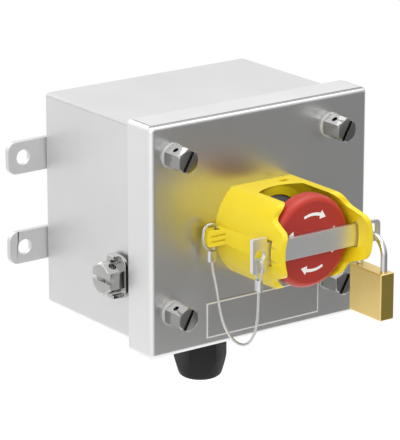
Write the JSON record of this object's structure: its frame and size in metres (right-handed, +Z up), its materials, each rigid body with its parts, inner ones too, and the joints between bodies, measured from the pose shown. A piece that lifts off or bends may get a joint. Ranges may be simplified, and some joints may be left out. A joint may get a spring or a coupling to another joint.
{
  "type": "emergency stop station",
  "caption": "Stainless wall box with a red mushroom button in a yellow shroud, a lock bar on a wire lanyard with a brass padlock, a cable gland below and an earth screw at the side.",
  "frame": {"origin": "middle of the four wall holes, on the plane where the lugs meet the wall", "axes": "+Z up, +Y into the wall, so the lid and button face -Y; +X to the right of someone facing it"},
  "size_m": [0.1524, 0.1409, 0.1385],
  "materials": {
    "stainless_box": "bead blasted stainless sheet",
    "stainless_lid": "smooth reflective stainless sheet",
    "screw_steel": "bright turned stainless",
    "plated_steel": "zinc plated steel",
    "gasket_rubber": "black sponge rubber",
    "label_steel": "satin steel",
    "yellow_plastic": "smooth yellow moulding",
    "red_plastic": "satin red moulding",
    "black_plastic": "black moulding",
    "gland_plastic": "black nylon",
    "contact_plastic": "dark grey moulding",
    "spring_steel": "bright wire",
    "brass": "satin brass",
    "chrome_rod": "polished rod",
    "rope_steel": "fine twisted steel wire",
    "ferrule_metal": "pressed sleeve"
  },
  "bodies": {
    "station": {"enclosure_body": "stainless_box", "lug_upper_left": "stainless_box", "lug_upper_right": "stainless_box", "lug_lower_left": "stainless_box", "lug_lower_right": "stainless_box", "corner_bushes": "screw_steel", "lid": "stainless_lid", "lid_gasket": "gasket_rubber", "lid_screws": "screw_steel", "screw_washers": "gasket_rubber", "screw_retainers": "contact_plastic", "label_plate": "label_steel", "shroud": "yellow_plastic", "actuator_seal": "gasket_rubber", "collar": "black_plastic", "ring_nut": "black_plastic", "return_spring": "spring_steel", "contact_carrier": "contact_plastic", "contact_block_left": "contact_plastic", "contact_block_right": "contact_plastic", "terminal_screws": "plated_steel", "boss_eye": "rope_steel", "lanyard_rope": "rope_steel", "boss_ferrule": "ferrule_metal", "earth_washer": "plated_steel", "earth_clamp": "plated_steel", "earth_screw": "plated_steel", "earth_inner_washer": "plated_steel", "earth_nut": "plated_steel", "gland_washer": "gasket_rubber", "gland_body": "gland_plastic", "gland_nut": "gland_plastic", "gland_seal": "gasket_rubber", "gland_locknut": "gland_plastic"},
    "plunger": {"stem": "black_plastic", "contact_pins": "contact_plastic"},
    "head": {"red_head": "red_plastic"},
    "bar": {"lock_bar": "screw_steel", "tab_eye": "rope_steel", "tab_ferrule": "ferrule_metal"},
    "shackle": {"padlock_shackle": "chrome_rod"},
    "case": {"padlock_case": "brass"},
    "plug": {"padlock_plug": "brass"}
  },
  "joints": [
    {"name": "button_push", "type": "slide", "parent": "station", "child": "plunger", "axis": [0, 1, 0], "range_m": [0, 0.006], "deforming": ["return_spring"]},
    {"name": "head_turn", "type": "hinge", "parent": "plunger", "child": "head", "pos_m": [0, -0.1205, 0], "axis": [0, 1, 0], "range_deg": [0, 30], "stiffness_Nm_per_rad": 0.05},
    {"name": "bar_slide", "type": "slide", "parent": "station", "child": "bar", "axis": [1, 0, 0], "range_m": [-0.0044, 0.0016]},
    {"name": "padlock_swing", "type": "hinge", "parent": "bar", "child": "shackle", "pos_m": [0.0322, -0.1294, -0.00125], "axis": [0, 1, 0], "range_deg": [-80, 14]},
    {"name": "padlock_open", "type": "slide", "parent": "shackle", "child": "case", "axis": [0, 0, -1], "range_m": [0, 0.007]},
    {"name": "key_turn", "type": "hinge", "parent": "case", "child": "plug", "pos_m": [0.0322, -0.1299, -0.03875], "axis": [0, 0, 1], "range_deg": [0, 90]}
  ]
}
